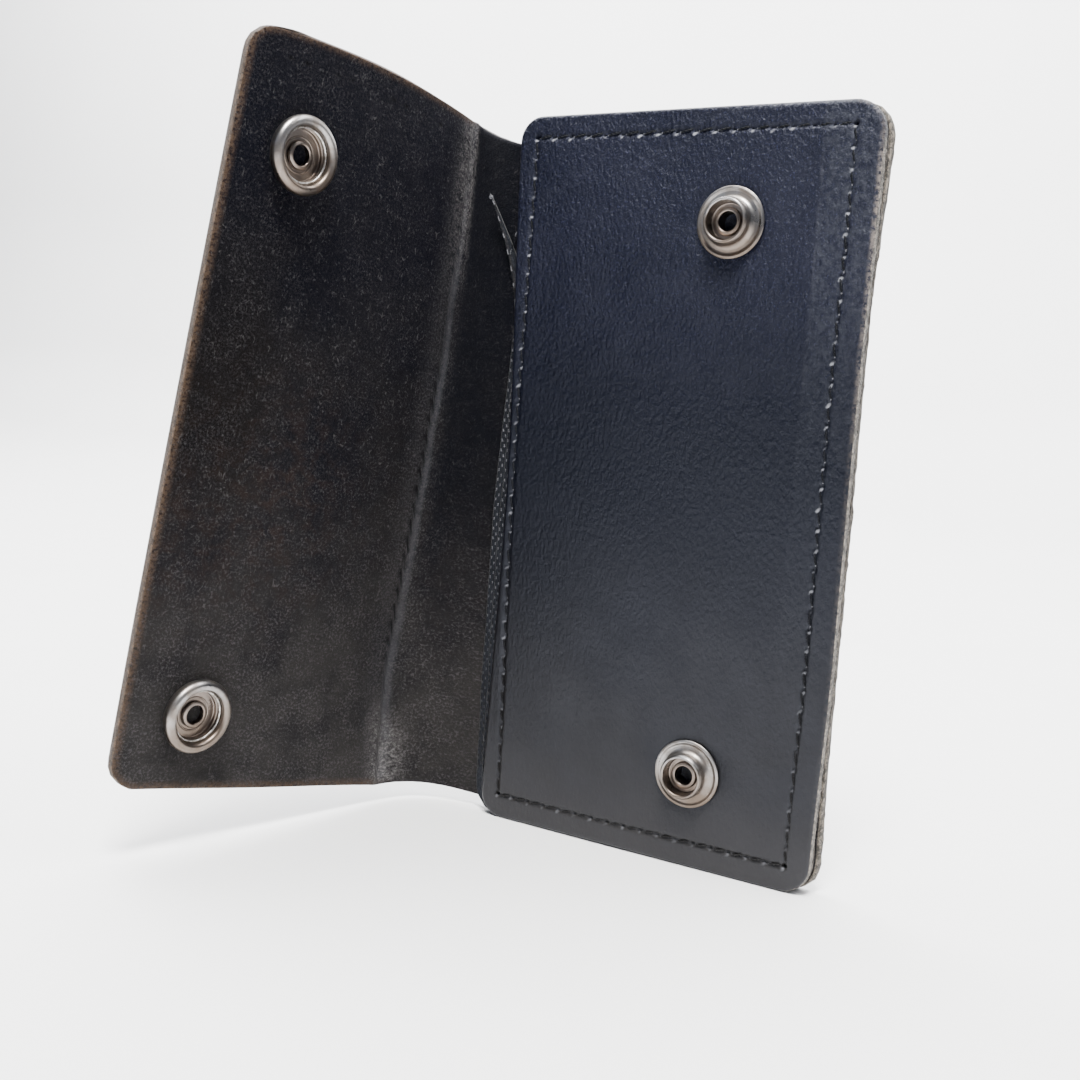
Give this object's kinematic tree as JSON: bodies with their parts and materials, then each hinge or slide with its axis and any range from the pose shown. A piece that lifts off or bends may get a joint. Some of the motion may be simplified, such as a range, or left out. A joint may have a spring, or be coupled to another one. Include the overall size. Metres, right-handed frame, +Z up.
{
  "type": "snap wallet",
  "caption": "Long leather wallet with a stitched pocket stack and a cover flap that folds over it and shuts with press studs.",
  "frame": {"origin": "centre of the bottom of the bounding box, flap standing open", "axes": "+Z up along the long side, +X across the front panel away from the fold, -Y out of the front panel"},
  "size_m": [0.1306, 0.0916, 0.1799],
  "materials": {
    "cover_leather": "smooth black grain, worn",
    "flesh_leather": "napped flesh side, black",
    "panel_leather": "fine pebble grain, blue-black, low sheen",
    "pocket_leather": "thin, smooth",
    "thread": "waxed black thread",
    "nickel": "worn nickel plate",
    "spring_steel": "bright wire"
  },
  "bodies": {
    "back": {"cover_back": "cover_leather", "front_panel": "panel_leather", "panel_lining": "pocket_leather", "card_pocket_leaf": "pocket_leather", "bill_pocket_leaf": "pocket_leather", "card_leaf_thread": "thread", "bill_leaf_thread": "thread", "seam_thread_front": "thread", "seam_thread_back": "thread", "stud_lower": "nickel", "stud_upper": "nickel", "stud_rivet_lower": "nickel", "stud_rivet_upper": "nickel"},
    "flap": {"cover_flap": "flesh_leather", "cover_spine": "flesh_leather", "socket_lower": "nickel", "socket_upper": "nickel", "snap_spring_lower": "spring_steel", "snap_spring_upper": "spring_steel", "cap_lower": "nickel", "cap_upper": "nickel"}
  },
  "joints": [
    {"name": "spine_fold", "type": "hinge", "parent": "back", "child": "flap", "pos_m": [-0.03846, 0.04157, 0], "axis": [0.0955, 0, 0.9954], "range_deg": [-70, 100.5]}
  ]
}
